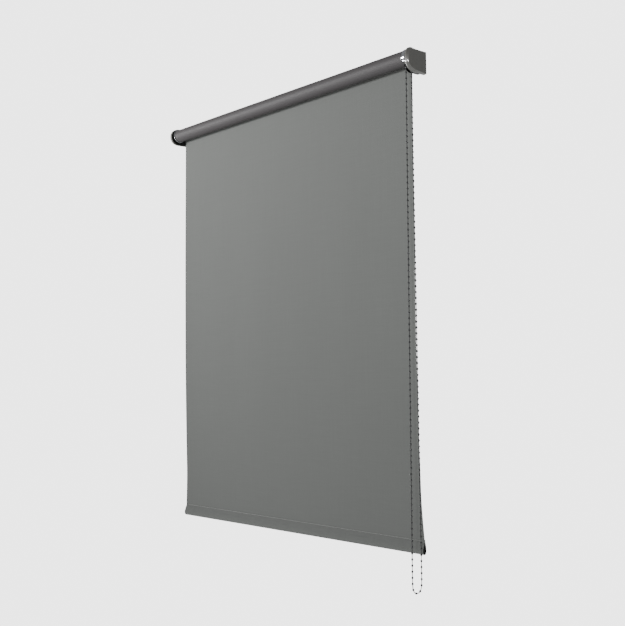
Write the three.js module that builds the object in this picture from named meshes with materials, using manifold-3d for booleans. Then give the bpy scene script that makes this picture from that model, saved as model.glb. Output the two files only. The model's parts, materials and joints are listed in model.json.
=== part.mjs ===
// A chain-driven roller blind on two wall brackets, in millimetres, +Z up.
// The wall is the plane y = 0 and the blind hangs in front of it, towards -Y.
// x = 0 is the middle of the fabric and z = 0 is the height of the roller's axis.
// The bead chain and its clutch are at the +X end, the sprung idle pin at the -X end.

import * as THREE from 'three';
import { ConvexGeometry } from 'three/addons/geometries/ConvexGeometry.js';
import { mergeVertices } from 'three/addons/utils/BufferGeometryUtils.js';
import Module from 'manifold-3d';

const wasm = await Module();
wasm.setup();

// ---------- driving dimensions ----------

const AXIS_Y = -38; // the roller's axis stands this far off the wall
const GAP = 0.3; // clearance between touching pieces

const FABRIC_HALF = 433; // half the width of the fabric
const FABRIC_T = 0.4;
const TUBE_HALF = 432.5;
const TUBE_R = 14;
const TUBE_WALL = 1.2;
const TAPE_T = 0.3;
const ROLL_R = 16.5; // outside of the fabric that is still wound up

const HEM_BOTTOM = -1010.8;
const HEM_Y = 20.8; // middle of the bar, behind the axis
const SEAM_Y = 22.6; // middle of the sewn double layer above it
const STRAIGHT_DROP = -600; // below this the fabric drifts towards the wall
const POCKET_HALF_T = 5.5;
const POCKET_HALF_H = 13;
const POCKET_WALL = 0.4;
const POCKET_HALF = 437.5;
const SEAM_H = 4; // flat double layer above the pocket
const BAR_WALL = 1.2;
const CAP_T = 2.8;

const CHAIN_X = 438;
const CHAIN_PITCH_R = 7.64; // eight pockets, 6 mm apart
const CORD_R = 0.8;
const BEAD_R = 2.25;

const CORE_R = 4.2; // fixed core of the clutch
const DRIVE_PLATE_X = 444.2;
const IDLE_PLATE_X = -444.4;
const PLATE_T = 2;
const COVER_WALL = 1.6;
const PIN_R = 3.5;
const PIN_TRAVEL = 6;

const WALL = -AXIS_Y; // the wall's y, measured from the roller's axis
const COVER_BACK = WALL - GAP;

// Side outlines of the covers as [y, z] from the roller's axis, from the wall over the
// top and the rounded front and back to the wall: at the rim, and at the smaller outer face.
const DRIVE = {
  rimX: 443.6,
  edgeX: 447,
  faceX: 452,
  rim: [[COVER_BACK, 17], [-2.4, 20.3], [-11.2, 16], [-15.6, 7.5], [-16.6, -4], [-15, -15.5],
    [-8.5, -25], [3.4, -31.4], [COVER_BACK, -31.6]],
  face: [[COVER_BACK, 15], [2, 15.2], [-6.2, 12.5], [-11, 5], [-12.4, -6], [-11.2, -17.2],
    [-4, -23.6], [5.7, -26.6], [COVER_BACK, -31]],
};
const IDLE = {
  rimX: -441.6,
  edgeX: -448,
  faceX: -451,
  rim: [[COVER_BACK, 20], [-1, 20], [-12, 16], [-19, 8], [-21.5, -1.5], [-19.5, -12],
    [-12, -20], [-1, -23.5], [COVER_BACK, -23.5]],
  face: [[COVER_BACK, 18], [-1, 18], [-11, 14], [-17, 6.5], [-19, -1.5], [-17.3, -11],
    [-10.5, -18], [-1, -21.5], [COVER_BACK, -21.5]],
};

// ---------- solids ----------

function closed(geometry) {
  geometry.deleteAttribute('normal');
  geometry.deleteAttribute('uv');
  const merged = mergeVertices(geometry, 1e-4);
  const position = merged.getAttribute('position');
  const index = merged.getIndex();
  const [a, b, c] = [new THREE.Vector3(), new THREE.Vector3(), new THREE.Vector3()];
  let volume = 0;
  for (let i = 0; i < index.count; i += 3) {
    a.fromBufferAttribute(position, index.getX(i));
    b.fromBufferAttribute(position, index.getX(i + 1));
    c.fromBufferAttribute(position, index.getX(i + 2));
    volume += a.dot(b.cross(c));
  }
  if (volume < 0) {
    for (let i = 0; i < index.count; i += 3) {
      const first = index.getX(i);
      index.setX(i, index.getX(i + 1));
      index.setX(i + 1, first);
    }
  }
  return merged;
}

function toSolid(geometry) {
  const merged = closed(geometry);
  return new wasm.Manifold(new wasm.Mesh({
    numProp: 3,
    vertProperties: new Float32Array(merged.getAttribute('position').array),
    triVerts: new Uint32Array(merged.getIndex().array),
  }));
}

function toGeometry(solid) {
  const mesh = solid.getMesh();
  const geometry = new THREE.BufferGeometry();
  geometry.setAttribute('position', new THREE.BufferAttribute(mesh.vertProperties, 3));
  geometry.setIndex(new THREE.BufferAttribute(mesh.triVerts, 1));
  return geometry;
}

function cut(geometry, ...tools) {
  return toGeometry(tools.reduce((solid, tool) => solid.subtract(toSolid(tool)), toSolid(geometry)));
}

function join(geometry, ...others) {
  return toGeometry(others.reduce((solid, other) => solid.add(toSolid(other)), toSolid(geometry)));
}

function common(geometry, other) {
  return toGeometry(toSolid(geometry).intersect(toSolid(other)));
}

// An outline drawn in (y, z) and pulled along x.
function pull(outline, x0, x1, options = {}) {
  const geometry = new THREE.ExtrudeGeometry(outline, {
    depth: x1 - x0, bevelEnabled: false, curveSegments: 16, ...options,
  });
  const turn = new THREE.Matrix4().makeBasis(
    new THREE.Vector3(0, 1, 0), new THREE.Vector3(0, 0, 1), new THREE.Vector3(1, 0, 0),
  );
  return geometry.applyMatrix4(turn).translate(x0, 0, 0);
}

// A profile of [x, radius] points turned about the x axis.
function turned(profile, segments = 40) {
  const points = profile.map(([x, radius]) => new THREE.Vector2(radius, x));
  return new THREE.LatheGeometry(points, segments).rotateZ(-Math.PI / 2);
}

function tubeProfile(x0, x1, inner, outer) {
  return [[x0, inner], [x1, inner], [x1, outer], [x0, outer], [x0, inner]];
}

function block(x0, x1, y0, y1, z0, z1) {
  return new THREE.BoxGeometry(x1 - x0, y1 - y0, z1 - z0)
    .translate((x0 + x1) / 2, (y0 + y1) / 2, (z0 + z1) / 2);
}

function ellipse(halfY, halfZ, y = 0, z = 0) {
  return new THREE.Shape().absellipse(y, z, halfY, halfZ, 0, 2 * Math.PI, false, 0);
}

function ellipseRing(halfY, halfZ, wall, y = 0, z = 0) {
  const ring = ellipse(halfY, halfZ, y, z);
  ring.holes.push(ellipse(halfY - wall, halfZ - wall, y, z));
  return ring;
}

function along(points, radius, sides, steps) {
  const section = new THREE.Shape();
  for (let i = 0; i < sides; i += 1) {
    const angle = (2 * Math.PI * i) / sides;
    const [u, v] = [radius * Math.cos(angle), radius * Math.sin(angle)];
    if (i === 0) section.moveTo(u, v);
    else section.lineTo(u, v);
  }
  section.closePath();
  return new THREE.ExtrudeGeometry(section, {
    steps, bevelEnabled: false, extrudePath: new THREE.CatmullRomCurve3(points, false, 'centripetal'),
  });
}

function coil(x0, x1, radius, wire, turns) {
  const perTurn = 8;
  const points = [];
  for (let i = 0; i <= turns * perTurn; i += 1) {
    const angle = (2 * Math.PI * i) / perTurn;
    const x = x0 + wire + ((x1 - x0 - 2 * wire) * i) / (turns * perTurn);
    points.push(new THREE.Vector3(x, radius * Math.cos(angle), radius * Math.sin(angle)));
  }
  return along(points, wire, 5, turns * perTurn);
}

// A plug outline with shallow ribs that grip the inside of the tube.
function ribbed(outer, valley, ribs) {
  const shape = new THREE.Shape();
  const steps = ribs * 4;
  for (let i = 0; i < steps; i += 1) {
    const angle = (2 * Math.PI * i) / steps;
    const radius = i % 4 < 2 ? outer : valley;
    const [u, v] = [radius * Math.cos(angle), radius * Math.sin(angle)];
    if (i === 0) shape.moveTo(u, v);
    else shape.lineTo(u, v);
  }
  shape.closePath();
  return shape;
}

// ---------- materials and placing ----------

function finish(colour, roughness, metalness) {
  return new THREE.MeshStandardMaterial({ color: colour, roughness, metalness });
}

const looks = {
  fabric: () => finish(0x868884, 0.9, 0),
  reverse: () => finish(0x6f6c6e, 0.75, 0),
  cover: () => finish(0x63635f, 0.4, 0),
  chrome: () => finish(0xc9ccd0, 0.12, 1),
  steel: () => finish(0x9b9ea1, 0.4, 1),
  aluminium: () => finish(0xb4b6b8, 0.45, 1),
  black: () => finish(0x1b1b1b, 0.5, 0),
  enamel: () => finish(0x161616, 0.45, 0),
  nylon: () => finish(0xd8d6ce, 0.5, 0),
  thread: () => finish(0xa7a9a5, 0.8, 0),
  chain: () => finish(0x4f5152, 0.5, 0),
};

const blind = new THREE.Group();
const axis = new THREE.Group();
axis.position.set(0, AXIS_Y, 0);
blind.add(axis);

function place(group, name, geometry, look) {
  const mesh = new THREE.Mesh(closed(geometry), looks[look]());
  mesh.name = name;
  group.add(mesh);
}

// ---------- brackets, covers and screws ----------

const LEG_REACH = 26;
const SCREW_SPREAD = 10;
const SCREW_R = 2.1;

// The outline with its rounded front smoothed, moved inwards by an inset, as [y, z] points.
function outlineAt(corners, inset, back) {
  const front = corners.slice(1, -1).map(([y, z]) => new THREE.Vector3(0, y, z));
  const curve = new THREE.CatmullRomCurve3(front, false, 'centripetal').getPoints(18);
  return curve.map((point, i) => {
    const before = curve[Math.max(i - 1, 0)];
    const after = curve[Math.min(i + 1, curve.length - 1)];
    const run = after.clone().sub(before).normalize();
    return [point.y - run.z * inset, point.z + run.y * inset];
  }).concat([
    [back, corners.at(-1)[1] + inset], [back, corners[0][1] - inset],
  ]);
}

// A solid between outlines at several x positions.
function hull(...levels) {
  return new ConvexGeometry(
    levels.flatMap(([x, points]) => points.map(([y, z]) => new THREE.Vector3(x, y, z))),
  );
}

// A hollow cap, open towards the roller and towards the wall.
function coverShell(end) {
  const outward = Math.sign(end.faceX);
  const outer = hull(
    [end.rimX, outlineAt(end.rim, 0, COVER_BACK)],
    [end.edgeX, outlineAt(end.rim, 0, COVER_BACK)],
    [end.faceX, outlineAt(end.face, 0, COVER_BACK)],
  );
  const hollow = hull(
    [end.rimX - outward * 2, outlineAt(end.rim, COVER_WALL, WALL + 20)],
    [end.edgeX - outward * 0.6, outlineAt(end.rim, COVER_WALL, WALL + 20)],
    [end.faceX - outward * COVER_WALL, outlineAt(end.face, COVER_WALL, WALL + 20)],
  );
  return cut(outer, hollow);
}

function plateOutline(corners, inset, back) {
  return new THREE.Shape(
    outlineAt(corners, inset, back).map(([y, z]) => new THREE.Vector2(y, z)).reverse(),
  );
}

// A steel plate beside the roller with a leg folded along the wall behind it.
function bracketPlate(end, plateX, outward) {
  const inset = COVER_WALL + 0.8;
  const plate = pull(plateOutline(end.rim, inset, WALL), plateX, plateX + PLATE_T);
  const legEnd = plateX + (outward > 0 ? -LEG_REACH : PLATE_T + LEG_REACH);
  const plateSide = plateX + (outward > 0 ? PLATE_T : 0);
  const leg = block(
    Math.min(legEnd, plateSide), Math.max(legEnd, plateSide),
    WALL - PLATE_T, WALL, end.rim.at(-1)[1] + inset + 7, end.rim[0][1] - inset - 2,
  );
  return join(plate, leg);
}

function screwPlaces(end, plateX, outward) {
  const x = plateX - outward * (LEG_REACH - 9);
  const middle = (end.rim[0][1] + end.rim.at(-1)[1]) / 2;
  return [middle + SCREW_SPREAD, middle - SCREW_SPREAD].map((z) => ({ x, z }));
}

function screwHole({ x, z }) {
  return new THREE.CylinderGeometry(SCREW_R + GAP, SCREW_R + GAP, 8, 16).translate(x, WALL, z);
}

// A pan-head screw whose shank runs back into the wall.
function wallScrew({ x, z }) {
  const head = WALL - PLATE_T - GAP;
  const profile = [
    [head - 2.6, 0], [head - 2.4, 2.2], [head - 1.2, 3.6], [head, 3.8], [head, SCREW_R],
  ];
  const threads = 4;
  const pitch = 4.5;
  const start = WALL + 1;
  profile.push([start, SCREW_R]);
  for (let i = 0; i < threads; i += 1) {
    profile.push([start + pitch * (i + 0.5), SCREW_R - 0.6]);
    profile.push([start + pitch * (i + 1), SCREW_R]);
  }
  profile.push([start + pitch * threads + 3, 0]);
  const body = turned(profile, 14).rotateZ(Math.PI / 2);
  const slots = [0, Math.PI / 2].map(
    (angle) => new THREE.BoxGeometry(0.9, 2.4, 4.4).rotateY(angle).translate(0, head - 2.6, 0),
  );
  return cut(body, ...slots).translate(x, 0, z);
}

function addDriveBracket() {
  const places = screwPlaces(DRIVE, DRIVE_PLATE_X, 1);
  const squareHole = block(DRIVE_PLATE_X - 1, DRIVE_PLATE_X + 5, -4.3, 4.3, -4.3, 4.3);
  const plate = cut(bracketPlate(DRIVE, DRIVE_PLATE_X, 1), squareHole, ...places.map(screwHole));
  place(axis, 'drive_bracket', plate, 'enamel');
  place(axis, 'drive_cover', coverShell(DRIVE), 'cover');
  place(axis, 'drive_screw_upper', wallScrew(places[0]), 'steel');
  place(axis, 'drive_screw_lower', wallScrew(places[1]), 'steel');
}

function addIdleBracket() {
  const places = screwPlaces(IDLE, IDLE_PLATE_X, -1);
  const pinHole = turned(
    [[IDLE_PLATE_X - 1, 0], [IDLE_PLATE_X - 1, PIN_R + GAP], [IDLE_PLATE_X + 5, PIN_R + GAP],
      [IDLE_PLATE_X + 5, 0]], 24,
  );
  const plate = cut(bracketPlate(IDLE, IDLE_PLATE_X, -1), pinHole, ...places.map(screwHole));
  place(axis, 'idle_bracket', plate, 'enamel');
  place(axis, 'idle_cover', coverShell(IDLE), 'cover');
  place(axis, 'idle_screw_upper', wallScrew(places[0]), 'steel');
  place(axis, 'idle_screw_lower', wallScrew(places[1]), 'steel');
}

// ---------- clutch and chain wheel ----------

const CORE_INNER_X = 394;
const GUARD_X0 = 434.4;
const GUARD_X1 = 443.4;
const GUARD_R = 17.6;
const CROWN_BORE = 6.6;
const PLUG_R = TUBE_R - TUBE_WALL - 0.4;

function addClutchCore() {
  const shaft = turned([
    [CORE_INNER_X, 0], [CORE_INNER_X, CORE_R - 0.4], [CORE_INNER_X + 0.4, CORE_R],
    [CORE_INNER_X + 2, CORE_R], [CORE_INNER_X + 2, CORE_R - 0.9], [CORE_INNER_X + 3.4, CORE_R - 0.9],
    [CORE_INNER_X + 3.4, CORE_R], [GUARD_X1 + 0.4, CORE_R], [GUARD_X1 + 0.4, 0],
  ], 24);
  const stub = block(GUARD_X1, 448.6, -4, 4, -4, 4);
  place(axis, 'clutch_core', join(shaft, stub), 'steel');
  const clip = tubeProfile(CORE_INNER_X + 2.3, CORE_INNER_X + 3.1, CORE_R - 0.6, CROWN_BORE - 0.4);
  place(axis, 'clutch_retaining_ring', turned(clip, 24), 'steel');
}

function addClutchSprings() {
  const radius = CORE_R + GAP + 0.5;
  place(axis, 'clutch_spring_inner', coil(399.5, 410.5, radius, 0.5, 5), 'steel');
  place(axis, 'clutch_spring_outer', coil(412.5, 423.5, radius, 0.5, 5), 'steel');
}

function addChainWheel() {
  const bore = CORE_R + GAP;
  const [rimX0, rimX1, rimR] = [435.2, 440.8, 9.4];
  const body = turned([
    [426, bore], [rimX1, bore], [rimX1, rimR], [CHAIN_X + 1.5, rimR], [CHAIN_X + 1.2, 6.4],
    [CHAIN_X - 1.2, 6.4], [CHAIN_X - 1.5, rimR], [rimX0, rimR], [rimX0, 6.2], [426, 6.2], [426, bore],
  ], 32);
  const pockets = [];
  for (let i = 0; i < 8; i += 1) {
    const angle = (Math.PI * (i + 0.5)) / 4;
    pockets.push(new THREE.SphereGeometry(2.45, 8, 6).translate(
      CHAIN_X, CHAIN_PITCH_R * Math.cos(angle), CHAIN_PITCH_R * Math.sin(angle),
    ));
  }
  place(axis, 'chain_wheel', cut(body, ...pockets), 'nylon');
}

function addChainGuard() {
  const cup = turned([
    [GUARD_X0, GUARD_R - 1.4], [GUARD_X1 - 1.4, GUARD_R - 1.4], [GUARD_X1 - 1.4, CORE_R + GAP],
    [GUARD_X1, CORE_R + GAP], [GUARD_X1, GUARD_R - 0.8], [GUARD_X1 - 0.8, GUARD_R],
    [GUARD_X0 + 0.8, GUARD_R], [GUARD_X0, GUARD_R - 0.8], [GUARD_X0, GUARD_R - 1.4],
  ], 40);
  const slot = block(CHAIN_X - 2.9, CHAIN_X + 2.9, -14.2, 11.4, -20, -8);
  place(axis, 'chain_guard', cut(cup, slot), 'chrome');

  // a dark guide under the guard keeps the two strands apart from the bracket
  const [x0, x1] = [GUARD_X0, GUARD_X1];
  const outline = pull(plateOutline(DRIVE.rim, COVER_WALL, 30), x0, x1);
  const lower = common(outline, block(x0, x1, -30, 30, -40, -12));
  const round = turned([[x0 - 1, 0], [x0 - 1, GUARD_R + GAP], [x1 + 1, GUARD_R + GAP], [x1 + 1, 0]], 40);
  const way = block(CHAIN_X - 2.9, CHAIN_X + 2.9, -40, 11.6, -40, 0);
  const ends = block(x0 - 1, x1 + 1, -40, -9, -40, 0);
  place(axis, 'chain_guide', cut(lower, round, way, ends), 'black');
}

function addDriveCrown() {
  const body = pull(ribbed(PLUG_R, PLUG_R - 1.2, 8), 396, 432.8);
  const flange = turned([[432.5, 0], [432.5, TUBE_R - 0.1], [434.1, TUBE_R - 0.1], [434.1, 0]]);
  const bore = turned([[395, 0], [395, CROWN_BORE], [435, CROWN_BORE], [435, 0]], 24);
  place(axis, 'drive_crown', cut(join(body, flange.translate(0.3, 0, 0)), bore), 'nylon');
}

// ---------- tube and wound fabric ----------

function addRoller() {
  place(axis, 'roller_tube', turned(tubeProfile(-TUBE_HALF, TUBE_HALF, TUBE_R - TUBE_WALL, TUBE_R)),
    'aluminium');
  const tapeR = TUBE_R + GAP;
  const tape = new THREE.Shape();
  tape.absarc(0, 0, tapeR + TAPE_T, 0.9, 1.9, false);
  tape.absarc(0, 0, tapeR, 1.9, 0.9, true);
  tape.closePath();
  place(axis, 'fixing_tape', pull(tape, 4 - FABRIC_HALF, FABRIC_HALF - 4, { curveSegments: 8 }), 'nylon');
  const roll = tubeProfile(-FABRIC_HALF, FABRIC_HALF, tapeR + TAPE_T + GAP, ROLL_R);
  place(axis, 'fabric_roll', turned(roll, 48), 'reverse');
}

// ---------- idle end ----------

function addIdlePlug() {
  const body = pull(ribbed(PLUG_R, PLUG_R - 1.2, 8), -432.9, -405);
  const hub = turned([
    [-440.6, 0], [-440.6, 10.4], [-440, 11], [-434.1, 11], [-434.1, TUBE_R - 0.1],
    [-432.8, TUBE_R - 0.1], [-432.8, 0],
  ]);
  const bore = turned([[-442, 0], [-442, PIN_R + GAP], [-425, PIN_R + GAP], [-425, 0]], 24);
  const chamber = turned([[-426, 0], [-426, 6.1], [-404, 6.1], [-404, 0]], 24);
  place(axis, 'idle_plug', cut(join(body, hub), bore, chamber), 'nylon');
  const ring = turned([
    [-438.2, 11 + GAP], [-434.5, 11 + GAP], [-434.5, 16.6], [-435.1, 17.2], [-437.6, 17.2],
    [-438.2, 16.6], [-438.2, 11 + GAP],
  ], 40);
  place(axis, 'idle_ring', ring, 'chrome');
}

function addIdlePin() {
  const pin = turned([
    [-446.8, 0], [-446.8, PIN_R - 0.7], [-446.1, PIN_R], [-425.7, PIN_R], [-425.7, 5.6],
    [-423.7, 5.6], [-423.7, 2.3], [-412.5, 2.3], [-412, 1.8], [-412, 0],
  ], 24);
  place(axis, 'idle_pin', pin, 'steel');
  place(axis, 'idle_pin_spring', coil(-423.3, -407.6, 3.6, 0.45, 6), 'steel');
  place(axis, 'idle_spring_retainer', turned(tubeProfile(-407.2, -405.2, 2.3 + GAP, 5.8), 24), 'steel');
}

// ---------- hanging fabric and bottom bar ----------

const HEM_Z = HEM_BOTTOM + POCKET_HALF_H;
const SEAM_TOP = HEM_Z + POCKET_HALF_H + SEAM_H;

function addFabricPanel() {
  const front = ROLL_R + GAP;
  const hemFront = SEAM_Y - FABRIC_T / 2;
  const bottom = SEAM_TOP + GAP;
  const strip = new THREE.Shape();
  strip.moveTo(front, -0.6);
  strip.lineTo(front, STRAIGHT_DROP);
  strip.lineTo(hemFront, bottom);
  strip.lineTo(hemFront + FABRIC_T, bottom);
  strip.lineTo(front + FABRIC_T, STRAIGHT_DROP);
  strip.lineTo(front + FABRIC_T, -0.6);
  strip.closePath();
  place(axis, 'fabric_panel', pull(strip, -FABRIC_HALF, FABRIC_HALF), 'fabric');
}

function addHem() {
  const ring = pull(
    ellipseRing(POCKET_HALF_T, POCKET_HALF_H, POCKET_WALL, HEM_Y, HEM_Z), -POCKET_HALF, POCKET_HALF,
  );
  const seam = block(
    -POCKET_HALF, POCKET_HALF, SEAM_Y - FABRIC_T, SEAM_Y + FABRIC_T, HEM_Z + POCKET_HALF_H - 0.85, SEAM_TOP,
  );
  place(axis, 'hem_pocket', join(ring, seam), 'fabric');
  const thread = block(
    2 - POCKET_HALF, POCKET_HALF - 2, SEAM_Y - FABRIC_T - GAP - 0.5, SEAM_Y - FABRIC_T - GAP,
    SEAM_TOP - 3, SEAM_TOP - 2.5,
  );
  place(axis, 'hem_stitching', thread, 'thread');
}

function addBottomBar() {
  const [halfY, halfZ] = [POCKET_HALF_T - POCKET_WALL - GAP, POCKET_HALF_H - POCKET_WALL - GAP];
  const capX = POCKET_HALF - CAP_T - 0.2;
  const bar = pull(ellipseRing(halfY, halfZ, BAR_WALL, HEM_Y, HEM_Z), GAP - capX, capX - GAP);
  place(axis, 'bottom_bar', bar, 'aluminium');
  const spigot = ellipse(halfY - BAR_WALL - GAP, halfZ - BAR_WALL - GAP, HEM_Y, HEM_Z);
  const flange = ellipse(halfY, halfZ, HEM_Y, HEM_Z);
  place(axis, 'bar_cap_drive', join(
    pull(flange, capX, capX + CAP_T), pull(spigot, capX - 12, capX + 0.5),
  ), 'black');
  place(axis, 'bar_cap_idle', join(
    pull(flange, -capX - CAP_T, -capX), pull(spigot, -capX - 0.5, 12 - capX),
  ), 'black');
}

// ---------- bead chain ----------

// Half of the free loop, as [distance from the axis, height], widening towards the bottom.
const STRAND = [
  [CHAIN_PITCH_R, -0.5], [7.7, -25], [7.9, -80], [8.4, -180], [9.2, -330], [10.1, -500],
  [11, -670], [11.8, -820], [12.4, -940], [12.8, -1020], [12.9, -1048], [12.7, -1062],
  [11.9, -1071.5], [9.6, -1078], [5.8, -1081.8], [2, -1083],
];

function addChain() {
  const front = STRAND.map(([y, z]) => new THREE.Vector3(CHAIN_X, -y, z));
  const back = STRAND.map(([y, z]) => new THREE.Vector3(CHAIN_X, y, z)).reverse();
  place(axis, 'chain_cord', along([...front, ...back], CORD_R, 8, 72), 'chain');
  const wrap = [];
  for (let i = 0; i <= 12; i += 1) {
    const angle = (Math.PI * i) / 12;
    wrap.push(new THREE.Vector3(
      CHAIN_X, CHAIN_PITCH_R * Math.cos(angle), CHAIN_PITCH_R * Math.sin(angle),
    ));
  }
  place(axis, 'chain_wrap', along(wrap, CORD_R, 8, 12), 'chain');
}

addDriveBracket();
addIdleBracket();
addClutchCore();
addClutchSprings();
addChainWheel();
addChainGuard();
addDriveCrown();
addRoller();
addIdlePlug();
addIdlePin();
addFabricPanel();
addHem();
addBottomBar();
addChain();

export default blind;
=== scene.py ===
"""A grey roller blind on two capped brackets, with a bead chain at its right end."""

import json
import math

import bmesh
import bpy
import numpy as np
from mathutils import Matrix, Quaternion, Vector

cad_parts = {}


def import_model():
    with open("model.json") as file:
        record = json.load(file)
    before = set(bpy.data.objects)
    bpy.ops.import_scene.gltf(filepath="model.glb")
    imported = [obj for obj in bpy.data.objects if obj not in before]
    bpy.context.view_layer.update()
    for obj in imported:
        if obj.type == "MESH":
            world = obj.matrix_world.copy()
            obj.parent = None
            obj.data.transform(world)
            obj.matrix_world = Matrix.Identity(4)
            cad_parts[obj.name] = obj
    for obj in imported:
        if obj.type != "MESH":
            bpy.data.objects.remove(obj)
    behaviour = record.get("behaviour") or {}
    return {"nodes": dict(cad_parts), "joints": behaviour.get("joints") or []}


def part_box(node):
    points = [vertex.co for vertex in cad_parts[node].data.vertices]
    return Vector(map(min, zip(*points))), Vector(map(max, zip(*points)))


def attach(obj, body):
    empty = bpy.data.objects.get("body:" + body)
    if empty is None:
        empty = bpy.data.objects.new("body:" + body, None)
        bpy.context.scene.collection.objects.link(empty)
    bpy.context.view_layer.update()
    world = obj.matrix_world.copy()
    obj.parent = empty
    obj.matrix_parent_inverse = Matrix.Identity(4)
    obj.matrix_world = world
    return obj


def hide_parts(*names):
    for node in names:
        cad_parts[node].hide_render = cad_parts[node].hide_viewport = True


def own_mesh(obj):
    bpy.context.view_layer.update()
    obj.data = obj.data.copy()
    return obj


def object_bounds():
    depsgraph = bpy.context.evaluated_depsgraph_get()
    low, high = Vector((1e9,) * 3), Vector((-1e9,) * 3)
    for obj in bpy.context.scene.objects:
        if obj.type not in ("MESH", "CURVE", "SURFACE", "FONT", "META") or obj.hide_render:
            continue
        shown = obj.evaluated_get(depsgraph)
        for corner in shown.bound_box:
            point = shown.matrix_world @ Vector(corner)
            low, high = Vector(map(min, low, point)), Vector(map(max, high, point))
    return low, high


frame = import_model()
CAD_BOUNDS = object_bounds()
JOINTS = {j["name"]: j for j in frame["joints"]}
AXIS_Y = JOINTS["roller_spin"]["pos_m"][1]
MM = 0.001
RNG = np.random.default_rng(7)
SPLINE_STEPS = 40  # points that a spline puts between two of its own
SHARP_ANGLE = 35  # degrees between faces, above which an edge stays sharp

# The fitted camera: azimuth, pitch and roll in degrees, and its place in millimetres from the
# roller's axis.
CAMERA_TURN = (50.498, 3.578, -0.6044)
CAMERA_SPOT = (1931.75, -1493.71, -654.37)
CAMERA_LENS = 59.99
CAMERA_SENSOR = 36


def rel(node):
    """A CAD node's box in millimetres, with y counted from the roller's axis."""
    lo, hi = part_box(node)
    shift = np.array([0, AXIS_Y, 0])
    return (np.array(lo) - shift) / MM, (np.array(hi) - shift) / MM


def world(points):
    """Points in millimetres, with y counted from the roller's axis, as row-frame metres."""
    return np.asarray(points, float) * MM + np.array([0, AXIS_Y, 0])


# ---------- camera ----------

def add_camera():
    az, pitch, roll = (math.radians(a) for a in CAMERA_TURN)
    level = math.cos(pitch)
    forward = Vector((-math.sin(az) * level, math.cos(az) * level, math.sin(pitch)))
    right = Vector((math.cos(az), math.sin(az), 0))
    up = right.cross(forward)
    right, up = (
        math.cos(roll) * right + math.sin(roll) * up,
        math.cos(roll) * up - math.sin(roll) * right,
    )
    data = bpy.data.cameras.new("camera")
    data.lens = CAMERA_LENS
    data.sensor_width = CAMERA_SENSOR
    camera = bpy.data.objects.new("camera", data)
    turn = Matrix((right, up, -forward)).transposed().to_4x4()
    camera.matrix_world = Matrix.Translation(Vector(world(CAMERA_SPOT))) @ turn
    bpy.context.scene.collection.objects.link(camera)
    bpy.context.scene.camera = camera


# ---------- mesh helpers ----------

def piece(name, verts, faces, mats, body, index=None, angle=SHARP_ANGLE):
    """A mesh from points in millimetres, riding on a CAD body."""
    mesh = bpy.data.meshes.new(name)
    corners = [tuple(int(i) for i in f) for f in faces]
    mesh.from_pydata([tuple(v) for v in world(verts)], [], corners)
    obj = bpy.data.objects.new(name, mesh)
    bpy.context.scene.collection.objects.link(obj)
    for m in mats if isinstance(mats, (list, tuple)) else [mats]:
        mesh.materials.append(m)
    if index is not None:
        mesh.polygons.foreach_set("material_index", np.asarray(index, np.int32))
    face_outwards(obj.data)
    smooth(obj.data, angle)
    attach(obj, body)
    return obj


def face_outwards(mesh):
    """Points every face of a mesh outwards."""
    bm = bmesh.new()
    bm.from_mesh(mesh)
    bmesh.ops.recalc_face_normals(bm, faces=bm.faces)
    bm.to_mesh(mesh)
    bm.free()


def smooth(mesh, angle):
    """Shades a mesh smooth and keeps the edges sharper than the angle."""
    mesh.polygons.foreach_set("use_smooth", np.ones(len(mesh.polygons), bool))
    mesh.set_sharp_from_angle(angle=math.radians(angle))


def rings_to_faces(rows, cols, close_rows=False, close_cols=True, offset=0):
    """Quads between neighbouring rings of points."""
    faces = []
    for i in range(rows if close_rows else rows - 1):
        for j in range(cols if close_cols else cols - 1):
            a = i * cols + j
            b = i * cols + (j + 1) % cols
            c = ((i + 1) % rows) * cols + (j + 1) % cols
            d = ((i + 1) % rows) * cols + j
            faces.append((a + offset, b + offset, c + offset, d + offset))
    return faces


def capped_rings(rows, cols, offset=0):
    """Quads between neighbouring rings, and a face over the first and the last ring."""
    faces = rings_to_faces(rows, cols, offset=offset)
    faces.append(tuple(range(offset, offset + cols))[::-1])
    faces.append(tuple(range(offset + (rows - 1) * cols, offset + rows * cols)))
    return faces


def lathe(profile, segments):
    """Points and faces of a closed [x, radius] profile turned about the roller's axis."""
    t = np.arange(segments) * 2 * math.pi / segments
    verts = [(x, r * math.cos(a), r * math.sin(a)) for x, r in profile for a in t]
    return verts, rings_to_faces(len(profile), segments, close_rows=True)


def rounded(profile, radius, steps=4):
    """The same closed profile with each corner rounded off."""
    pts = [np.array(p, float) for p in profile]
    out = []
    for i, p in enumerate(pts):
        before, after = pts[i - 1], pts[(i + 1) % len(pts)]
        a, b = before - p, after - p
        la, lb = np.linalg.norm(a), np.linalg.norm(b)
        cut = min(radius, la * 0.4, lb * 0.4)
        start, end = p + a / la * cut, p + b / lb * cut
        for s in np.linspace(0, 1, steps):
            out.append((1 - s) ** 2 * start + 2 * s * (1 - s) * p + s * s * end)
    return [tuple(p) for p in out]


def tube(path, radius, sides=10):
    """A capped tube along a line that lies in a plane of constant x."""
    tangent = np.gradient(path, axis=0)
    tangent /= np.linalg.norm(tangent, axis=1)[:, None]
    side = np.array([1.0, 0, 0])
    t = np.arange(sides) * 2 * math.pi / sides
    verts = []
    for p, u in zip(path, np.cross(tangent, side)):
        verts += [p + radius * (math.cos(a) * side + math.sin(a) * u) for a in t]
    return verts, capped_rings(len(path), sides)


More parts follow.
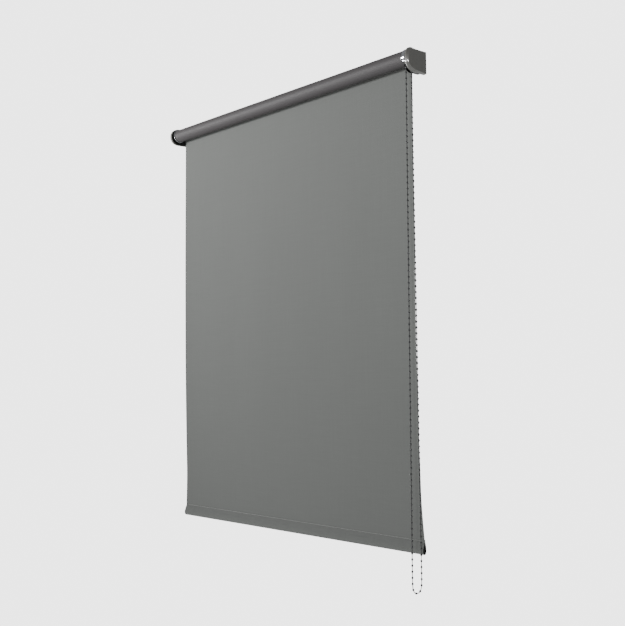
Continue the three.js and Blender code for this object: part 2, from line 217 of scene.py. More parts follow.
def smooth_line(points, step):
    """A centripetal spline through the points, at even steps."""
    pts = np.asarray(points, float)
    pts = np.vstack([2 * pts[0] - pts[1], pts, 2 * pts[-1] - pts[-2]])
    out = []
    for i in range(1, len(pts) - 2):
        p = pts[i - 1:i + 3]
        t = np.concatenate([[0], np.cumsum(np.sqrt(np.linalg.norm(np.diff(p, axis=0), axis=1)))])
        for u in np.linspace(t[1], t[2], SPLINE_STEPS, endpoint=False):
            a = [((t[k + 1] - u) * p[k] + (u - t[k]) * p[k + 1]) / (t[k + 1] - t[k])
                 for k in range(3)]
            b = [((t[k + 2] - u) * a[k] + (u - t[k]) * a[k + 1]) / (t[k + 2] - t[k])
                 for k in range(2)]
            out.append(((t[2] - u) * b[0] + (u - t[1]) * b[1]) / (t[2] - t[1]))
    out.append(pts[-2])
    out = np.array(out)
    count = max(2, int(round(distances(out)[-1] / step)) + 1)
    return even(out, count)


def distances(line):
    """How far along the line each of its points is."""
    return np.concatenate([[0], np.cumsum(np.linalg.norm(np.diff(line, axis=0), axis=1))])


def points_at(line, at):
    """The points of a line at some distances along it."""
    s = distances(line)
    return np.stack([np.interp(at, s, line[:, k]) for k in range(line.shape[1])], 1)


def even(line, count):
    """The line as evenly spaced points."""
    return points_at(line, np.linspace(0, distances(line)[-1], count))


def inset_line(line, by):
    """A planar line moved sideways, to its left."""
    run = np.gradient(line, axis=0)
    run /= np.linalg.norm(run, axis=1)[:, None]
    return line + by * np.stack([-run[:, 1], run[:, 0]], 1)


def eased(points, rounds):
    """The points drawn softly round, with both ends held."""
    for _ in range(rounds):
        points[1:-1] = 0.25 * points[:-2] + 0.5 * points[1:-1] + 0.25 * points[2:]
    return points


# ---------- materials ----------

# The wave texture at scale 1 repeats every pi / 10.
WAVE_SCALE = 0.31416


class Look:
    """A principled material with the node steps that the finishes share."""

    def __init__(self, name, color, rough, metal=0.0, **sockets):
        self.mat = bpy.data.materials.new(name)
        self.mat.use_nodes = True
        self.tree = self.mat.node_tree
        self.shader = self.tree.nodes["Principled BSDF"]
        self.color = color
        self.rough = rough
        self.shader.inputs["Base Color"].default_value = (*color, 1)
        self.shader.inputs["Roughness"].default_value = rough
        self.shader.inputs["Metallic"].default_value = metal
        for key, value in sockets.items():
            self.shader.inputs[key.replace("_", " ")].default_value = value
        self.coords = self.tree.nodes.new("ShaderNodeTexCoord").outputs["Object"]

    def node(self, kind, **values):
        """A new node, with its settings or, by name, its sockets filled in."""
        n = self.tree.nodes.new(kind)
        for key, value in values.items():
            if hasattr(n, key):
                setattr(n, key, value)
            else:
                n.inputs[key.replace("_", " ")].default_value = value
        return n

    def link(self, a, b):
        self.tree.links.new(a, b)

    def noise(self, scale, detail, rough=0.55):
        """Noise with its own scale along each axis, in cells per metre."""
        spot = self.node("ShaderNodeMapping")
        spot.inputs["Scale"].default_value = scale
        self.link(self.coords, spot.inputs["Vector"])
        n = self.node("ShaderNodeTexNoise", Scale=1.0, Detail=detail, Roughness=rough)
        self.link(spot.outputs["Vector"], n.inputs["Vector"])
        return n.outputs["Fac"]

    def wave(self, direction, period, wobble=0.0):
        """Bands that repeat at a period in metres."""
        n = self.node("ShaderNodeTexWave", wave_type="BANDS", bands_direction=direction)
        n.inputs["Scale"].default_value = WAVE_SCALE / period
        n.inputs["Distortion"].default_value = wobble
        self.link(self.coords, n.inputs["Vector"])
        return n.outputs["Fac"]

    def math(self, operation, a, b):
        """A sum or product of sockets or numbers."""
        n = self.node("ShaderNodeMath", operation=operation)
        for value, socket in ((a, n.inputs[0]), (b, n.inputs[1])):
            if isinstance(value, (int, float)):
                socket.default_value = value
            else:
                self.link(value, socket)
        return n.outputs[0]

    def spread(self, fac, low, high):
        """The middle half of a texture's range, stretched between two values."""
        n = self.node("ShaderNodeMapRange", clamp=True)
        n.inputs["From Min"].default_value = 0.25
        n.inputs["From Max"].default_value = 0.75
        n.inputs["To Min"].default_value = low
        n.inputs["To Max"].default_value = high
        self.link(fac, n.inputs["Value"])
        return n.outputs["Result"]

    def paint(self, fac):
        """Multiplies the base colour by a grey factor."""
        n = self.node("ShaderNodeVectorMath", operation="SCALE")
        n.inputs[0].default_value = self.color
        self.link(fac, n.inputs["Scale"])
        self.link(n.outputs[0], self.shader.inputs["Base Color"])

    def shine(self, fac, swing):
        """Varies the roughness by the swing, to either side."""
        rough = self.spread(fac, self.rough - swing, self.rough + swing)
        self.link(rough, self.shader.inputs["Roughness"])

    def bump(self, height, distance):
        """Adds relief, a distance in metres deep, on top of what is there."""
        n = self.node("ShaderNodeBump")
        n.inputs["Strength"].default_value = 1.0
        n.inputs["Distance"].default_value = distance
        self.link(height, n.inputs["Height"])
        before = self.shader.inputs["Normal"].links
        if before:
            self.link(before[0].from_socket, n.inputs["Normal"])
        self.link(n.outputs["Normal"], self.shader.inputs["Normal"])


def woven(name, color, rough, period, sheen, contrast):
    """Plain weave: the two yarns' bands, uneven yarns both ways, and a faint cloudiness."""
    look = Look(name, color, rough, Sheen_Weight=sheen, Sheen_Roughness=0.5)
    look.shader.inputs["Specular IOR Level"].default_value = 0.25
    warp = look.wave("X", period, 0.15)
    weft = look.wave("Z", period, 0.15)
    cloth = look.math("ADD", look.math("MULTIPLY", warp, 0.5), look.math("MULTIPLY", weft, 0.5))
    slubs = look.spread(look.noise((14, 14, 1300), 2.0), 1 - contrast, 1 + contrast)
    yarns = look.spread(look.noise((1300, 14, 9), 2.0), 1 - contrast, 1 + contrast)
    cloud = look.spread(look.noise((2.4, 2.4, 1.7), 2.0), 0.985, 1.015)
    shade = look.math("MULTIPLY", look.math("MULTIPLY", slubs, yarns), cloud)
    weave = look.spread(cloth, 0.93, 1.05)
    look.paint(look.math("MULTIPLY", shade, weave))
    look.bump(cloth, 0.00006)
    look.bump(look.noise((900, 900, 900), 2.0), 0.00003)
    return look.mat


def moulded(name, color, rough, coat=0.0, grain=0.00002, gloss=0.5):
    """Moulded plastic or paint, with a fine grain and slight variation in tone and shine."""
    look = Look(
        name, color, rough, Coat_Weight=coat, Coat_Roughness=0.1, Specular_IOR_Level=gloss,
    )
    broad = look.noise((60, 60, 60), 3.0)
    look.paint(look.spread(broad, 0.95, 1.05))
    look.shine(look.noise((220, 220, 220), 4.0), 0.05)
    look.bump(look.noise((2600, 2600, 2600), 2.0), grain)
    return look.mat


def metal(name, color, rough, stretch, swing, grain=0.000008):
    """Metal with a grain stretched along its brushing or rolling."""
    look = Look(name, color, rough, 1.0)
    brushed = look.noise(stretch, 4.0)
    look.paint(look.spread(brushed, 0.94, 1.04))
    look.shine(look.noise((90, 90, 90), 4.0, 0.6), swing)
    look.bump(brushed, grain)
    return look.mat


def spun(name, color):
    """Twisted yarn."""
    look = Look(name, color, 0.8, Sheen_Weight=0.2)
    ply = look.wave("DIAGONAL", 0.0009)
    look.paint(look.spread(ply, 0.75, 1.15))
    look.bump(ply, 0.0001)
    return look.mat


MATS = {
    "fabric": woven("fabric front", (0.128, 0.134, 0.128), 0.85, 0.00055, 0.08, 0.035),
    "reverse": woven("fabric reverse", (0.065, 0.061, 0.063), 0.55, 0.00055, 0.02, 0.03),
    "cover": moulded("grey cover", (0.125, 0.125, 0.116), 0.36, 1.0),
    # The idle cover is the same plastic as the drive cover. This copy is darker and has no coat, as
    # painted shade, so its rim that faces the key lamp renders dimmer.
    "idle cover, painted shade": moulded("grey cover, painted shade copy", (0.11, 0.11, 0.1), 0.6, 0.0),
    "chrome": metal("chrome", (0.66, 0.68, 0.71), 0.09, (25, 900, 900), 0.03, 0.000002),
    "steel": metal("zinc plated steel", (0.42, 0.43, 0.44), 0.36, (260, 260, 260), 0.08),
    "aluminium": metal("aluminium", (0.52, 0.53, 0.54), 0.4, (6, 1400, 1400), 0.05),
    "black": moulded("black plastic", (0.006, 0.006, 0.006), 0.42, 0.0, 0.00003, 0.2),
    # The brackets are coloured near-black as painted shade. The colour stands in for the dark
    # recess seen inside the covers and under the chain guard.
    "enamel": moulded("near-black bracket, painted shade", (0.008, 0.008, 0.008), 0.4, 0.1, 0.000005, 0.3),
    "nylon": moulded("natural nylon", (0.62, 0.61, 0.56), 0.45),
    # The thread's grey is lighter than its own tone so the stitches show as light dashes. It is
    # partly the thread's colour and partly a painted highlight.
    "thread": spun("sewing thread", (0.47, 0.47, 0.45)),
    "chain": moulded("chain beads", (0.035, 0.036, 0.038), 0.35, 0.2, 0.00001),
    "cord": spun("chain cord", (0.03, 0.031, 0.031)),
}


# ---------- bead chain ----------

# All in millimetres.
BEAD_PITCH = 12.0
BEAD_RADIUS = 2.25
CORD_RADIUS = 0.8
LOW_BEAD_SHIFT = 2.0  # the lowest bead's distance from the loop's lowest point

# Half of the free loop in metres, as (distance from the axis, height).
STRAND = [
    (0.00764, -0.0005), (0.0077, -0.025), (0.0079, -0.080), (0.0084, -0.180), (0.0092, -0.330),
    (0.0101, -0.500), (0.011, -0.670), (0.0118, -0.820), (0.0124, -0.940), (0.0128, -1.020),
    (0.0129, -1.048), (0.0127, -1.062), (0.0119, -1.0715), (0.0096, -1.078), (0.0058, -1.0818),
    (0.002, -1.083),
]


def chain_line():
    """The cord in millimetres: the free loop, and the half turn over the wheel."""
    x = (rel("chain_cord")[0][0] + rel("chain_cord")[1][0]) / 2
    front = [(x, -y / MM, z / MM) for y, z in STRAND]
    back = [(x, y / MM, z / MM) for y, z in STRAND][::-1]
    free = smooth_line(front + back, 2.0)
    r = STRAND[0][0] / MM
    turn = np.linspace(0, math.pi, 40)
    over = np.array([(x, r * math.cos(a), r * math.sin(a)) for a in turn])
    return free, over


def bead_shape(sides=14):
    """A moulded bead along its own z, with a short collar where the cord leaves it."""
    profile = [(-2.55, 0.95), (-2.45, 1.2), (-2.0, 1.28)]
    profile += [(BEAD_RADIUS * math.sin(a), BEAD_RADIUS * math.cos(a))
                for a in np.radians([-52, -36, -18, -4])]
    profile += [(0.0, 2.29)]
    profile += [(-z, r) for z, r in profile[:-1][::-1]]
    t = np.arange(sides) * 2 * math.pi / sides
    return np.array([[(r * math.cos(a), r * math.sin(a), z) for a in t] for z, r in profile])


def add_chain():
    free, over = chain_line()
    loop = np.vstack([free, over[1:]])
    s = distances(loop)
    total = s[-1]
    count = int(round(total / BEAD_PITCH))
    lowest = s[np.argmin(loop[:len(free), 2])] - LOW_BEAD_SHIFT
    at = (lowest + np.arange(count) * (total / count)) % total
    shape = bead_shape()
    rows, cols = shape.shape[:2]
    side = np.array([1.0, 0, 0])
    verts, faces = [], []
    for p, q in zip(points_at(loop, at), points_at(loop, (at + 1.0) % total)):
        along = (q - p) / np.linalg.norm(q - p)
        up = np.cross(along, side)
        spin = RNG.uniform(0, math.pi)
        u = math.cos(spin) * side + math.sin(spin) * up
        v = np.cross(along, u)
        base = len(verts)
        for ring in shape:
            verts += [p + a * u + b * v + c * along for a, b, c in ring]
        faces += capped_rings(rows, cols, base)
    beads = piece("chain_beads", verts, faces, MATS["chain"], "chain", angle=50)
    cord = piece("chain_cord_line", *tube(free, CORD_RADIUS), MATS["cord"], "chain")
    wrap = piece("chain_wrap_line", *tube(over, CORD_RADIUS), MATS["cord"], "chain")
    for obj, name in ((cord, "chain_cord"), (wrap, "chain_wrap")):
        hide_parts(name)


# ---------- fabric ----------

# All in millimetres.
BAR_LEAN_Z = -990  # the height at which the leaning bar, hem and stitches take their offset
PANEL_THICKNESS = 0.36
PANEL_OVERLAP = 1.3  # how far the panel comes down in front of the seam

def askew(x, z):
    """The bar hangs slightly out of true: its left end stands nearer the room than its right."""
    low = np.clip((-500.0 - z) / 480.0, 0, 1)
    return 0.0055 * x * low * low * (3 - 2 * low)


def seam_y():
    """The plane of the sewn double layer, behind the middle of the bar."""
    return rel("fabric_panel")[1][1]


def drop_y(z):
    """How far behind the axis the fabric's front face hangs at a height."""
    lo, _ = rel("fabric_panel")
    start = -600.0
    s = np.clip((start - z) / (start - lo[2]), 0, 1)
    return lo[1] + (seam_y() - 0.95 - lo[1]) * (0.55 * s + 0.45 * s * s)


def half_width(z):
    """Half the cloth's width at a height: it widens to the bar over its last 95 mm."""
    s = np.clip((z + 885.0) / -95.0, 0, 1)
    return 431.4 + 5.6 * s ** 1.6


def cupping(u, z):
    """The long edges lean a little towards the room, and the cloth has faint upright waves."""
    depth = rel("fabric_panel")[0][2]
    t = np.clip(z / depth, 0, 1)
    belly = np.sin(math.pi * t) ** 1.4
    edge = np.exp(-(1 - np.abs(u)) * 433 / 22)  # fades over 22 mm of the 433 mm half width
    waves = 0.35 * np.sin(9.0 * u + 0.8) + 0.22 * np.sin(17.0 * u + 2.1 + 1.5 * t)
    return -2.2 * edge * belly + waves * belly


def add_panel():
    """The hanging cloth, with its front, its darker reverse and closed edges."""
    lo, _ = rel("fabric_panel")
    nx, nz = 150, 170
    u = np.linspace(-1, 1, nx)
    u = np.sign(u) * np.abs(u) ** 0.85  # closer together towards the long edges
    bottom = lo[2] - PANEL_OVERLAP
    z = bottom - (bottom + 0.15) * np.linspace(0, 1, nz)
    front = []
    for zz in z:
        x = u * half_width(zz)
        y = drop_y(zz) + cupping(u, zz) + askew(x, zz)
        front.append(np.stack([x, y, np.full(nx, zz)], 1))
    front = np.array(front)
    back = front + np.array([0, PANEL_THICKNESS, 0])
    verts = np.vstack([front.reshape(-1, 3), back.reshape(-1, 3)])
    n = nx * nz
    faces = rings_to_faces(nz, nx, close_cols=False)
    index = [0] * len(faces)
    behind = rings_to_faces(nz, nx, close_cols=False, offset=n)
    faces += [f[::-1] for f in behind]
    index += [1] * len(behind)
    for i in range(nz - 1):
        for j in (0, nx - 1):
            a, b = i * nx + j, (i + 1) * nx + j
            faces.append((a, b, b + n, a + n))
    for j in range(nx - 1):
        for i in (0, nz - 1):
            a, b = i * nx + j, i * nx + j + 1
            faces.append((a, b, b + n, a + n))
    index += [0] * (len(faces) - len(index))
    panel = piece("fabric_panel_cloth", verts, faces, [MATS["fabric"], MATS["reverse"]], "brackets",
                  index, angle=60)
    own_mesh(panel)
    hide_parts("fabric_panel")


def add_roll():
    """The fabric still on the tube: its outer turn, and the spiral of its layers at each end."""
    _, hi = rel("fabric_roll")
    outer = hi[2]
    inner = rel("roller_tube")[1][2] + 1.05
    segments, layers = 128, 7
    t = np.arange(segments) * 2 * math.pi / segments
    rows = []
    half = hi[0] - 0.8
    step = (outer - inner) / layers
    # from the inside of the left end, out along its layers, across, and in along the right end
    left = []
    for k in range(layers):
        r0, r1 = inner + k * step, inner + (k + 1) * step
        jut = RNG.uniform(-0.25, 0.25)
        left += [(-half + 0.45, r0 + 0.02), (-half + jut, r0 + 0.08), (-half + jut, r1 - 0.06)]
    across = [(x, outer) for x in np.linspace(-half + 0.3, half - 0.3, 60)]
    right = [(-x, r) for x, r in left[::-1]]
    profile = left + across + right + [(half - 2, inner - 0.1), (-half + 2, inner - 0.1)]
    for x, r in profile:
        if r < outer - 0.01:
            rad = r + step * 0.5 * (t / (2 * math.pi) - 0.5)
        else:
            sag = 0.05 * math.sin(x * 0.021) + 0.03 * math.sin(x * 0.057 + 1)
            rad = r + (sag - 0.09)
        rows.append(np.stack([np.full(segments, x), rad * np.cos(t), rad * np.sin(t)], 1))
    roll = piece("fabric_roll_cloth", np.vstack(rows), rings_to_faces(len(rows), segments, True),
                 MATS["reverse"], "roller", angle=40)
    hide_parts("fabric_roll")


def pocket_section():
    """The pocket's outline as (y, z) from the seam: it bellies towards the room below the seam."""
    lo, hi = rel("hem_pocket")
    seam, top, bottom = seam_y(), hi[2], lo[2]
    shape = [
        (-0.45, top), (-0.5, top - 3.9), (-2.4, top - 8.4), (-5.1, top - 15.5), (-6.5, top - 22.5),
        (-5.4, top - 27.4), (-2.4, bottom), (1.3, bottom + 1.5), (3.1, top - 22.5),
        (2.8, top - 15.5), (1.6, top - 8.4), (0.5, top - 3.9), (0.45, top),
    ]
    line = smooth_line([(0, y, z) for y, z in shape], 0.9)
    return np.stack([seam + line[:, 1], line[:, 2]], 1)


def add_hem():
    """The pocket round the bar, open at both ends, and the flat seam above it."""
    lo, hi = rel("hem_pocket")
    outer = pocket_section()
    low = outer[:, 1] < hi[2] - 4.3
    inner = inset_line(outer, 0.38)[low]
    ring = np.vstack([outer, inner[::-1]])
    nx = 200
    rows = []
    for k in range(nx):
        u = -1 + 2 * k / (nx - 1)
        x = u * hi[0]
        ripple = 0.16 * math.sin(29 * u) + 0.1 * math.sin(71 * u + 1)
        below_top = np.clip((hi[2] - ring[:, 1]) / 12, 0, 1)
        above_bottom = np.clip((ring[:, 1] - lo[2]) / 8, 0, 1)
        y = ring[:, 0] + ripple * below_top * above_bottom + askew(x, BAR_LEAN_Z)
        rows.append(np.stack([np.full(len(ring), x), y, ring[:, 1]], 1))
    count, m = len(ring), len(inner)
    faces = rings_to_faces(nx, count)
    first = int(np.argmax(low))
    for base in (0, (nx - 1) * count):
        for k in range(m - 1):
            a, b = first + k, first + k + 1
            c, d = count - 2 - k, count - 1 - k
            faces.append((base + a, base + b, base + c, base + d))
        upper = [base + i for i in range(first + 1)]
        after = [base + i for i in range(first + m - 1, len(outer))]
        faces.append(tuple(upper + [base + count - 1, base + len(outer)] + after))
    hem = piece("hem_pocket_cloth", np.vstack(rows), faces, MATS["fabric"], "bar", angle=50)
    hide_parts("hem_pocket")


def add_stitches():
    """Running stitches, front and back, each sunk at its ends."""
    lo, hi = rel("hem_stitching")
    z0 = (lo[2] + hi[2]) / 2
    verts, faces = [], []
    pitch, long, rings = 4.0, 3.1, 7
    count = int((hi[0] - lo[0] - 4) / pitch)
    for side in (-1, 1):
        for k in range(count):
            x0 = lo[0] + 2 + k * pitch + (0.5 * pitch if side > 0 else 0)
            y0 = seam_y() + side * 0.6 + askew(x0, BAR_LEAN_Z)
            base = len(verts)
            tilt = RNG.uniform(-0.08, 0.08)
            for s in np.linspace(-1, 1, rings):
                r = 0.28 * math.sqrt(max(0.06, 1 - s ** 4))
                dip = -side * 0.3 * s ** 4
                centre = np.array([x0 + (s + 1) * long / 2, y0 + dip, z0 + tilt * s])
                for a in np.arange(6) * math.pi / 3:
                    verts.append(centre + np.array([0, r * math.cos(a), r * math.sin(a)]))
            faces += capped_rings(rings, 6, base)
    stitches = piece("hem_stitches", verts, faces, MATS["thread"], "bar", angle=80)
    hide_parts("hem_stitching")


BAR_LOOP_POINTS = 60
DEEPEST_INSET = 3.0  # past this, the bar's outline would cross itself


def bar_loop(inset):
    """The bar's outline inside the pocket, as evenly spaced points of a closed loop."""
    outline = pocket_section()
    depth = min(inset, DEEPEST_INSET)
    top = rel("bottom_bar")[1][2] - 2.4 * (depth - 0.75)
    line = eased(inset_line(outline, depth)[outline[:, 1] < top], 4)
    if inset > DEEPEST_INSET:
        line = line.mean(0) + (line - line.mean(0)) * 0.5
    return even(line, BAR_LOOP_POINTS)


def add_bar():
    """The bottom bar, a hollow lath that fills the pocket."""
    lo, hi = rel("bottom_bar")
    outer, inner = bar_loop(0.75), bar_loop(1.9)
    n = len(outer)
    rows = []
    for x, line in ((lo[0], inner), (lo[0], outer), (hi[0], outer), (hi[0], inner)):
        rows.append(np.column_stack([np.full(n, x), line[:, 0] + askew(x, BAR_LEAN_Z), line[:, 1]]))
    bar = piece("bottom_bar_lath", np.vstack(rows), rings_to_faces(4, n, close_rows=True),
                MATS["aluminium"], "bar", angle=40)
    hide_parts("bottom_bar")


def add_bar_cap(node, outward):
    """An end cap with a softened rim and a shallow dished face, plugged into the bar."""
    lo, hi = rel(node)
    face, back = (hi[0], lo[0]) if outward > 0 else (lo[0], hi[0])
    depth = abs(face - back)
    levels = [  # (distance from the face, inset from the pocket)
        (depth, 3.0), (depth - 0.3, 2.5), (2.8, 2.3), (2.75, 1.0), (2.5, 0.75), (0.5, 0.75),
        (0.15, 0.9), (0.0, 1.3), (0.1, 1.9), (0.35, 2.3), (0.4, 4.5),
    ]
    verts = []
    for deep, inset in levels:
        x = face - outward * deep
        verts += [(x, y + askew(x, BAR_LEAN_Z), z) for y, z in bar_loop(inset)]
    faces = capped_rings(len(levels), BAR_LOOP_POINTS)
    cap = piece(node + "_shape", verts, faces, MATS["black"], "bar", angle=40)
    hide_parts(node)


# ---------- rings, covers and brackets ----------

RING_SEGMENTS = 144


def add_guard():
    """The bright ring over the chain wheel, slotted below for the chain."""
    lo, hi = rel("chain_guard")
    outer = hi[2]
    x0, x1 = lo[0], hi[0]
    wall, web, hole = 1.3, 1.4, 4.6  # wall and end web thickness, and the web's hole radius
    profile = rounded([
        (x0, outer - wall), (x1 - web, outer - wall), (x1 - web, hole),
        (x1, hole), (x1, outer), (x0, outer),
    ], 0.9, 6)
    guard = piece("chain_guard_shape", *lathe(profile, RING_SEGMENTS), MATS["chrome"], "brackets",
                  angle=40)
    slot_box(guard, (x0 + x1) / 2 - 0.9, 2.9, -14.2, 11.4, -20, -8)
    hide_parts("chain_guard")


def slot_box(obj, x, half, y0, y1, z0, z1):
    """Cuts a box-shaped slot out of a piece."""
    corners = [(x + sx * half, y, z) for sx in (-1, 1) for y in (y0, y1) for z in (z0, z1)]
    mesh = bpy.data.meshes.new("cutter")
    mesh.from_pydata([tuple(v) for v in world(corners)], [], [
        (0, 1, 3, 2), (4, 6, 7, 5), (0, 4, 5, 1), (2, 3, 7, 6), (0, 2, 6, 4), (1, 5, 7, 3),
    ])
    cutter = bpy.data.objects.new("cutter", mesh)
    bpy.context.scene.collection.objects.link(cutter)
    tool = obj.modifiers.new("slot", "BOOLEAN")
    tool.operation = "DIFFERENCE"
    tool.solver = "EXACT"
    tool.object = cutter
    bake(obj)
    bpy.data.objects.remove(cutter)


def bake(obj):
    """Makes the modifiers' result the mesh itself."""
    bpy.context.view_layer.update()
    done = obj.evaluated_get(bpy.context.evaluated_depsgraph_get())
    mesh = bpy.data.meshes.new_from_object(done)
    obj.modifiers.clear()
    obj.data = mesh
    smooth(mesh, SHARP_ANGLE)


def turns_back(p, q, r):
    """Whether a line through three points goes straight on or turns clockwise."""
    return (q[0] - p[0]) * (r[1] - q[1]) - (q[1] - p[1]) * (r[0] - q[0]) <= 0


def outline_at(node, x):
    """The convex outline, as (y, z), of a CAD node's points at one x."""
    co = np.array([v.co for v in frame["nodes"][node].data.vertices]) / MM
    co -= np.array([0, AXIS_Y / MM, 0])
    pts = sorted({(round(p[1], 3), round(p[2], 3)) for p in co[np.abs(co[:, 0] - x) < 0.02]})
    halves = []
    for run in (pts, pts[::-1]):
        half = []
        for p in run:
            while len(half) > 1 and turns_back(half[-2], half[-1], p):
                half.pop()
            half.append(p)
        halves += half[:-1]
    return np.array(halves)


def rays(outline, centre, angles):
    """Where rays from a centre leave a convex outline."""
    out = []
    a, b = outline, np.roll(outline, -1, axis=0)
    for t in angles:
        d = np.array([math.cos(t), math.sin(t)])
        best = 0
        for p, q in zip(a - centre, b - centre):
            e = q - p
            den = d[0] * e[1] - d[1] * e[0]
            if abs(den) < 1e-9:
                continue
            r = (p[0] * e[1] - p[1] * e[0]) / den
            k = (p[0] * d[1] - p[1] * d[0]) / den
            if r > 0 and -1e-6 <= k <= 1 + 1e-6:
                best = max(best, r)
        out.append(centre + best * d)
    return np.array(out)


def add_cover(node, edge, outward):
    """A moulded cap that narrows from its rim to its face, open to the roller and the wall."""
    lo, hi = rel(node)
    rim, face = (lo[0], hi[0]) if outward > 0 else (hi[0], lo[0])
    wide, narrow = outline_at(node, rim), outline_at(node, face)
    centre = np.array([hi[1], (lo[2] + hi[2]) / 2])
    turn = np.linspace(math.pi / 2, 1.5 * math.pi, 121)
    a, b = (eased(rays(o, centre, turn), 3) for o in (wide, narrow))
    a[:, 0] = np.minimum(a[:, 0], hi[1])
    span = face - edge
    # (x, share of the way from the rim's outline to the face's, inset)
    levels = [(rim, 0, 0.35), (rim + outward * 0.12, 0, 0.1), (rim + outward * 0.4, 0, 0)]
    levels += [(edge - outward * 0.7, 0, 0), (edge, 0.035, 0), (edge + 0.1 * span, 0.13, 0)]
    levels += [(edge + k * span, k, 0) for k in (0.3, 0.5, 0.7, 0.85)]
    levels += [(edge + 0.93 * span, 0.93, 0.06), (edge + 0.975 * span, 0.97, 0.3), (face, 1, 0.9)]
    inner = [(face - outward * 1.6, 1, 1.7), (edge + 0.4 * span, 0.5, 1.6), (edge, 0, 1.6),
             (rim + outward * 0.3, 0, 1.45), (rim, 0, 1.1)]
    rows = []
    for x, k, inset in levels + inner:
        line = inset_line(a * (1 - k) + b * k, inset)
        line[[0, -1], 0] = hi[1]
        rows.append(np.column_stack([np.full(len(line), x), line]))
    n, count, out_rows = len(turn), len(rows), len(levels)
    faces = []
    for i in range(count):
        if i == out_rows - 1:
            continue
        k = (i + 1) % count
        faces += [(i * n + j, i * n + j + 1, k * n + j + 1, k * n + j) for j in range(n - 1)]
    for row in (out_rows - 1, out_rows):
        half = n // 2
        faces += [(row * n + j, row * n + j + 1, row * n + n - 2 - j, row * n + n - 1 - j)
                  for j in range(half - 1)]
        faces.append((row * n + half - 1, row * n + half, row * n + half + 1))
    for j in (0, n - 1):
        faces.append(tuple(i * n + j for i in range(count)))
    top, under = out_rows - 1, out_rows
    faces.append((top * n, top * n + n - 1, under * n + n - 1, under * n))
    # The idle end takes the darker copy of the cover plastic: painted shade for its rim that faces
    # the lamp.
    look = "cover" if outward > 0 else "idle cover, painted shade"
    cover = piece(node + "_shape", np.vstack(rows), faces, MATS[look], "brackets", angle=32)
    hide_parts(node)


def add_idle_ring():
    """The bright ring on the tube's idle end."""
    lo, hi = rel("idle_ring")
    profile = rounded([(lo[0], 11.4), (hi[0], 11.4), (hi[0], hi[2]), (lo[0], hi[2])], 0.9, 6)
    ring = piece("idle_ring_shape", *lathe(profile, RING_SEGMENTS), MATS["chrome"], "roller",
                 angle=40)
    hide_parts("idle_ring")


def add_screw(node):
    """A pan-head screw with a rounded head, a cross recess and a fine thread."""
    lo, hi = rel(node)
    x0, z0 = (lo[0] + hi[0]) / 2, (lo[2] + hi[2]) / 2
    start, tip = lo[1], hi[1]
    wall = rel("drive_bracket")[1][1]
    profile = [(start, 0.0), (start + 0.05, 1.2), (start + 0.35, 2.5), (start + 0.9, 3.4),
               (start + 1.6, 3.78), (start + 2.35, 3.8), (start + 2.6, 3.6), (start + 2.6, 2.05)]
    y = wall + 0.6
    profile.append((y, 1.75))
    while y < tip - 4.5:
        profile += [(y + 0.35, 1.5), (y + 0.8, 1.5), (y + 1.15, 2.1), (y + 1.3, 2.1)]
        y += 1.6
    profile += [(y + 0.4, 1.5), (tip, 0.0)]
    n = 36
    t = np.arange(n) * 2 * math.pi / n
    verts = [(x0 + r * math.cos(a), yy, z0 + r * math.sin(a)) for yy, r in profile for a in t]
    faces = rings_to_faces(len(profile), n)
    screw = piece(node + "_shape", verts, faces, MATS["steel"], "brackets", angle=40)
    bm = bmesh.new()
    bm.from_mesh(screw.data)
    bmesh.ops.remove_doubles(bm, verts=bm.verts, dist=1e-6)
    bm.to_mesh(screw.data)
    bm.free()
    for wide, high in ((0.45, 2.2), (2.2, 0.45)):
        slot_box(screw, x0, wide, start - 1, start + 1.4, z0 - high, z0 + high)
    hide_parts(node)


def add_pin_spring():
    """The coil behind the idle pin, built here at one length, though the real coil shortens as the
    pin is pressed in.
    """
    lo, hi = rel("idle_pin_spring")
    wire, turns, per, sides = 0.45, 7, 26, 10
    radius = hi[2] - wire
    count = turns * per + 1
    t = np.arange(count) * 2 * math.pi / per
    k = np.linspace(0, 1, count)
    lead = np.clip((k * turns - 0.75) / (turns - 1.5), 0, 1)
    x = lo[0] + wire + (hi[0] - lo[0] - 2 * wire) * (0.06 * k + 0.94 * lead)
    centre = np.stack([x, radius * np.cos(t), radius * np.sin(t)], 1)
    verts = []
    for p, a in zip(centre, t):
        out = np.array([0, math.cos(a), math.sin(a)])
        for b in np.arange(sides) * math.pi / 5:
            verts.append(p + wire * (math.cos(b) * out + math.sin(b) * np.array([1.0, 0, 0])))
    spring = piece("idle_pin_spring_coil", verts, capped_rings(count, sides), MATS["steel"],
                   "brackets", angle=60)
    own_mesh(spring)
    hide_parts("idle_pin_spring")


CARRIED_ANGLE = 30  # the faceted CAD pieces keep edges sharper than this


def dress(node, look):
    """A carried-over CAD node takes its finish, smooth where it curves."""
    obj = frame["nodes"][node]
    obj.data.materials.clear()
    obj.data.materials.append(MATS[look])
    obj.data.polygons.foreach_set("material_index", np.zeros(len(obj.data.polygons), np.int32))
    smooth(obj.data, CARRIED_ANGLE)


# ---------- setting ----------

FLOOR_DROP = 1.2  # metres from the blind's lowest point to the floor
FLOOR_RADIUS = 3.6
SOFT_LIGHT = 0.28  # the plain surround's light on the blind
BACKDROP = 3.5  # the surround's brightness as the camera sees it
# Each lamp's place, aim, size, power, and its lean and beam in degrees.
LAMPS = (
    ("key", (-1.7, -2.2, 0.05), (-0.25, 0, 0.6), (0.55, 0.5), 25, 0, 90),
    ("tall card", (-1.6, -1.33, -0.8), (0.44, -0.04, 0), (0.13, 3.2), 10, 26, 100),
    ("back", (-0.75, 2.3, 1.3), (-0.1, 0, -0.7), (1.8, 2.2), 60, 0, 170),
    ("strip", (1.62, -2.14, 0.14), (0.44, -0.04, -0.01), (0.3, 0.5), 9, 0, 120),
)


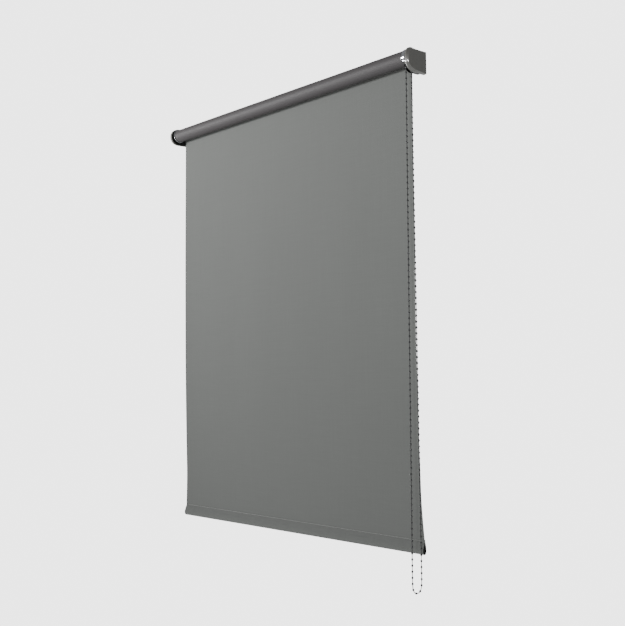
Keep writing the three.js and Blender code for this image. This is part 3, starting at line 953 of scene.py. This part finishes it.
def add_setting():
    """The pale floor, the plain surround and the soft lamps."""
    floor_z = CAD_BOUNDS[0].z - FLOOR_DROP
    mesh = bpy.data.meshes.new("floor")
    n = 96
    turn = [2 * math.pi * i / n for i in range(n)]
    edge = [(FLOOR_RADIUS * math.cos(a), FLOOR_RADIUS * math.sin(a), floor_z) for a in turn]
    mesh.from_pydata(edge, [], [tuple(range(n))])
    floor = bpy.data.objects.new("floor", mesh)
    bpy.context.scene.collection.objects.link(floor)
    glow = {"Emission_Color": (1, 1, 1, 1), "Emission_Strength": 0.42}
    mesh.materials.append(Look("pale floor", (0.8, 0.8, 0.8), 0.9, **glow).mat)

    air = bpy.data.worlds.new("studio")
    bpy.context.scene.world = air
    air.use_nodes = True
    tree = air.node_tree
    tree.nodes["Background"].inputs["Color"].default_value = (1, 1, 1, 1)
    seen = tree.nodes.new("ShaderNodeLightPath").outputs["Is Camera Ray"]
    level = tree.nodes.new("ShaderNodeMapRange")
    level.inputs["To Min"].default_value = SOFT_LIGHT
    level.inputs["To Max"].default_value = BACKDROP
    tree.links.new(seen, level.inputs["Value"])
    tree.links.new(level.outputs["Result"], tree.nodes["Background"].inputs["Strength"])

    for name, spot, aim, size, power, lean, beam in LAMPS:
        lamp = bpy.data.lights.new(name, "AREA")
        lamp.shape = "RECTANGLE"
        lamp.size, lamp.size_y = size
        lamp.energy = power
        lamp.spread = math.radians(beam)
        obj = bpy.data.objects.new(name, lamp)
        obj.location = spot
        obj.rotation_mode = "QUATERNION"
        turn = Quaternion((0, 0, 1), math.radians(lean))
        obj.rotation_quaternion = (Vector(aim) - Vector(spot)).to_track_quat("-Z", "Y") @ turn
        bpy.context.scene.collection.objects.link(obj)


add_camera()
add_chain()
add_panel()
add_roll()
add_hem()
add_stitches()
add_bar()
add_bar_cap("bar_cap_drive", 1)
add_bar_cap("bar_cap_idle", -1)
add_guard()
add_idle_ring()
add_pin_spring()
add_cover("drive_cover", 447, 1)
add_cover("idle_cover", -448, -1)
for screw_name in (
    "drive_screw_upper", "drive_screw_lower", "idle_screw_upper", "idle_screw_lower",
):
    add_screw(screw_name)
for node_name, look_name in (
    # The brackets take the near-black colour that paints the shade inside the covers.
    ("drive_bracket", "enamel"), ("idle_bracket", "enamel"), ("clutch_core", "steel"),
    ("clutch_retaining_ring", "steel"), ("clutch_spring_inner", "steel"),
    ("clutch_spring_outer", "steel"), ("chain_wheel", "nylon"), ("chain_guide", "black"),
    ("drive_crown", "nylon"), ("roller_tube", "aluminium"), ("fixing_tape", "nylon"),
    ("idle_plug", "nylon"), ("idle_pin", "steel"), ("idle_spring_retainer", "steel"),
):
    dress(node_name, look_name)
add_setting()
